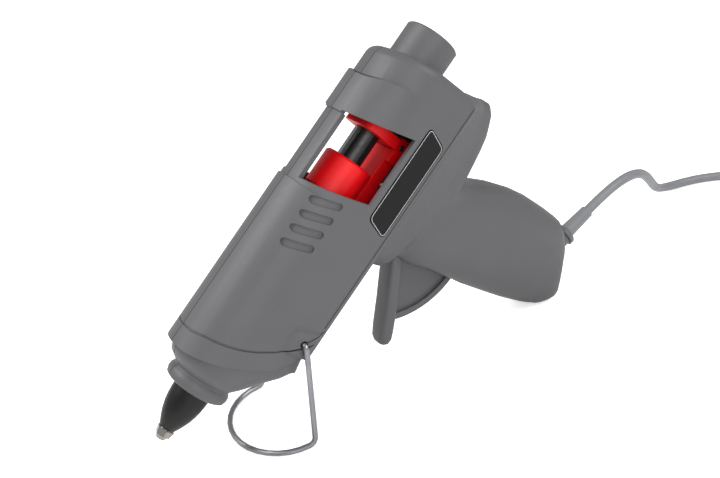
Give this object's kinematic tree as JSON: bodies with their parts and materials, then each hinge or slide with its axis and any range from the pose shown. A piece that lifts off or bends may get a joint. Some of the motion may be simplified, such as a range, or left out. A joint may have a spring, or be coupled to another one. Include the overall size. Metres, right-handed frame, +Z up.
{
  "type": "hot glue applicator",
  "caption": "Hand-held hot glue gun with a moulded grey housing, sprung trigger, sliding stick carriage seen through a side window, nozzle, wire stand and mains lead.",
  "frame": {"origin": "centre of the base of the box, on the bench that the stand and the butt of the handle rest on", "axes": "+Z up, -X toward the nozzle, the barrel pitched nose down; the side seen in the picture faces -Y"},
  "size_m": [0.4715, 0.119, 0.1674],
  "materials": {
    "grey_shell": "fine textured moulding",
    "red_nylon": "satin moulding",
    "black_rubber": "matte",
    "dark_plastic": "satin",
    "steel": "drawn wire and zinc-plated screws",
    "nickel_brass": "nickel plated",
    "cast_aluminium": "as cast",
    "heat_board": "pressed board",
    "ceramic": "matte",
    "cord_sheath": "satin"
  },
  "bodies": {
    "gun_body": {"left_housing": "grey_shell", "right_housing": "grey_shell", "inlet_tube": "grey_shell", "nozzle_boot": "black_rubber", "nozzle_tip": "nickel_brass", "melt_chamber": "cast_aluminium", "chamber_ring": "heat_board", "feed_sleeve": "black_rubber", "heater_element": "ceramic", "heater_clip": "steel", "heater_lead_near": "ceramic", "heater_lead_far": "ceramic", "trigger_pin": "steel", "return_spring": "steel", "cord_clamp": "dark_plastic", "clamp_screw_1": "steel", "clamp_screw_2": "steel", "housing_screw_1": "steel", "housing_screw_2": "steel", "housing_screw_3": "steel", "housing_screw_4": "steel", "housing_screw_5": "steel", "housing_screw_6": "steel", "housing_screw_7": "steel", "badge_plate": "dark_plastic", "cord_grommet": "black_rubber", "cord_relief": "cord_sheath", "cord": "cord_sheath", "cord_coil": "cord_sheath", "cord_tie": "black_rubber", "cord_end": "cord_sheath", "plug_body": "dark_plastic", "plug_pin_1": "nickel_brass", "plug_pin_2": "nickel_brass"},
    "carriage_body": {"carriage": "red_nylon", "clamp_pin": "steel", "glue_stick": "dark_plastic"},
    "clamp_body": {"stick_clamp": "red_nylon"},
    "trigger_body": {"trigger": "grey_shell"},
    "stand_body": {"stand_wire": "steel"}
  },
  "joints": [
    {"name": "trigger_squeeze", "type": "hinge", "parent": "gun_body", "child": "trigger_body", "pos_m": [0.00356, 0, 0.07263], "axis": [0, -1, 0], "range_deg": [0, 28], "deforming": ["return_spring"]},
    {"name": "carriage_feed", "type": "slide", "parent": "gun_body", "child": "carriage_body", "axis": [-0.7627, 0, -0.6468], "range_m": [0, 0.0122], "stiffness_N_per_m": 25, "springref_m": -0.02},
    {"name": "clamp_rock", "type": "hinge", "parent": "carriage_body", "child": "clamp_body", "pos_m": [0.00753, 0, 0.1165], "axis": [0, -1, 0], "range_deg": [0, 4]},
    {"name": "stand_swing", "type": "hinge", "parent": "gun_body", "child": "stand_body", "pos_m": [-0.06167, 0, 0.0506], "axis": [0, -1, 0], "range_deg": [0, 60]}
  ],
  "couplings": [
    {"joint": "trigger_squeeze", "follows": "carriage_feed", "rad_per_m": 40.05}
  ]
}
